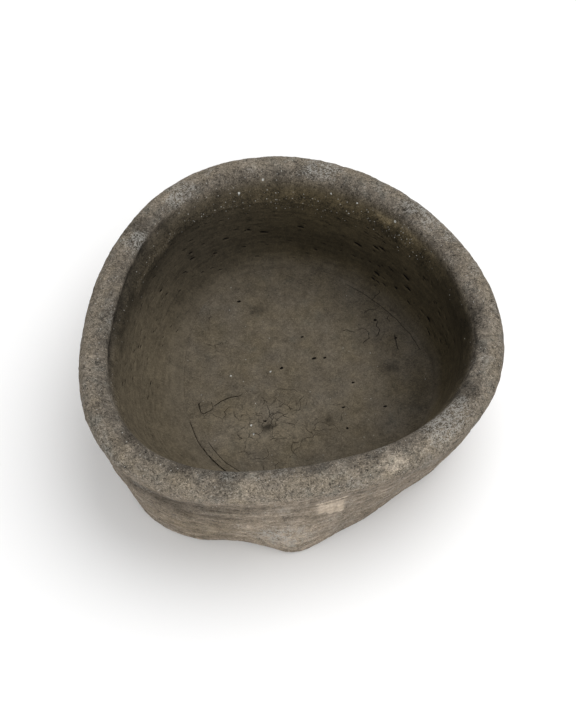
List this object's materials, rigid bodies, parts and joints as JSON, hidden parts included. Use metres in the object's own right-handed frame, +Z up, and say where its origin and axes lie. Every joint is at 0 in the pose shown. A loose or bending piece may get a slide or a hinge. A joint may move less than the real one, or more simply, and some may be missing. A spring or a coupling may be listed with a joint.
{
  "type": "clay mortar bowl",
  "caption": "Heavy hand-built clay mortar bowl with a lopsided rounded-triangle plan, thick granular lip, inner collar, cracked flat floor and a flat resting face.",
  "frame": {"origin": "on the resting plane, under the middle of the rim", "axes": "+Z up out of the bowl, +X to the bowl's right along its longest plan extent, -Y to its front, where the foot has a blunt upright ridge"},
  "size_m": [0.3035, 0.2989, 0.1],
  "materials": {
    "clay_floor": "matte",
    "clay_wall": "matte",
    "clay_lip": "matte",
    "clay_flake": "matte"
  },
  "bodies": {
    "root": {"base_slab": "clay_floor", "wall_coil": "clay_wall", "rim_coil": "clay_lip", "floor_flake": "clay_flake"}
  },
  "joints": []
}
